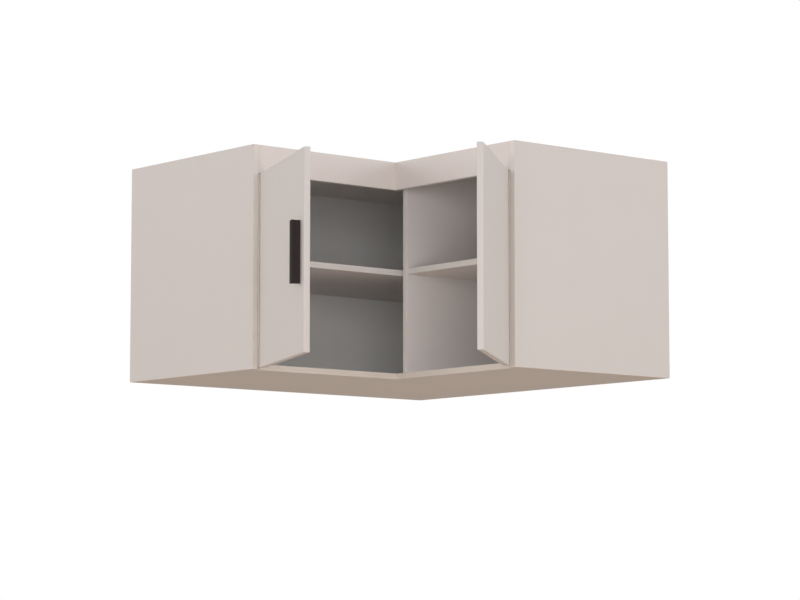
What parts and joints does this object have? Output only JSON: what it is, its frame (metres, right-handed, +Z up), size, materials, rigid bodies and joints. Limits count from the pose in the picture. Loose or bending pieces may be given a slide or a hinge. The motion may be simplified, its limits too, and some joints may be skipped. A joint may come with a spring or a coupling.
{
  "type": "corner wall cabinet",
  "caption": "L-shaped corner wall cabinet with inset doors on continuous hinges, a bar handle, mid-height shelves, a divider and wall hangers.",
  "frame": {"origin": "the room corner where the two walls meet, at the height of the cabinet's underside", "axes": "+X along the right wall, -Y along the left wall, +Z up; the walls are the planes X = 0 and Y = 0"},
  "size_m": [1.3447, 1.2355, 0.6],
  "materials": {
    "carcass_board": "matt cashmere melamine on board, banded edges",
    "door_board": "matt cashmere melamine on board, banded edges",
    "back_sheet": "painted thin fibreboard, pale grey",
    "raw_board": "bare particle board",
    "beech": "grooved beech",
    "handle_black": "matt black lacquer",
    "clear_rubber": "translucent soft dot",
    "fitting_plastic": "beige moulded plastic",
    "painted_fitting": "beige lacquer matched to the board",
    "cam_zinc": "die-cast zinc",
    "fitting_steel": "zinc plated"
  },
  "bodies": {
    "cabinet": {"back_nails": "fitting_steel", "bottom_panel": "carcass_board", "cam_bolts": "fitting_steel", "cam_locks": "cam_zinc", "centre_hanger_body": "fitting_plastic", "centre_hanger_cover": "fitting_plastic", "centre_hanger_hook": "fitting_steel", "corner_shelf": "carcass_board", "corner_shelf_pins": "fitting_plastic", "divider_panel": "carcass_board", "door_bumpers": "clear_rubber", "door_magnets": "painted_fitting", "hanger_screws": "fitting_steel", "left_back_panel": "back_sheet", "left_end_panel": "carcass_board", "left_front_rail": "carcass_board", "left_hanger_body": "fitting_plastic", "left_hanger_cover": "fitting_plastic", "left_hanger_hook": "fitting_steel", "left_hinge_frame_leaf": "painted_fitting", "left_hinge_frame_screws": "fitting_steel", "left_hinge_pin": "painted_fitting", "left_wall_rail": "fitting_steel", "rear_corner_post": "raw_board", "right_back_panel": "back_sheet", "right_end_panel": "carcass_board", "right_front_rail": "carcass_board", "right_hanger_body": "fitting_plastic", "right_hanger_cover": "fitting_plastic", "right_hanger_hook": "fitting_steel", "right_hinge_frame_leaf": "painted_fitting", "right_hinge_frame_screws": "fitting_steel", "right_hinge_pin": "painted_fitting", "right_shelf": "carcass_board", "right_shelf_pins": "fitting_plastic", "right_wall_rail": "fitting_steel", "top_panel": "carcass_board", "wooden_dowels": "beech"},
    "left_door_leaf": {"left_door": "door_board", "left_hinge_door_leaf": "painted_fitting", "left_hinge_door_screws": "fitting_steel", "left_door_strike": "fitting_steel", "left_handle": "handle_black", "handle_screws": "fitting_steel"},
    "right_door_leaf": {"right_door": "door_board", "right_hinge_door_leaf": "painted_fitting", "right_hinge_door_screws": "fitting_steel", "right_door_strike": "fitting_steel"}
  },
  "joints": [
    {"name": "left_door_hinge", "type": "hinge", "parent": "cabinet", "child": "left_door_leaf", "pos_m": [0.5719, -1.0425, 0.2625], "axis": [0, 0, -1], "range_deg": [-113.3, 56.7]},
    {"name": "right_door_hinge", "type": "hinge", "parent": "cabinet", "child": "right_door_leaf", "pos_m": [1.0425, -0.5719, 0.2625], "axis": [0, 0, 1], "range_deg": [-130.3, 39.7]}
  ]
}
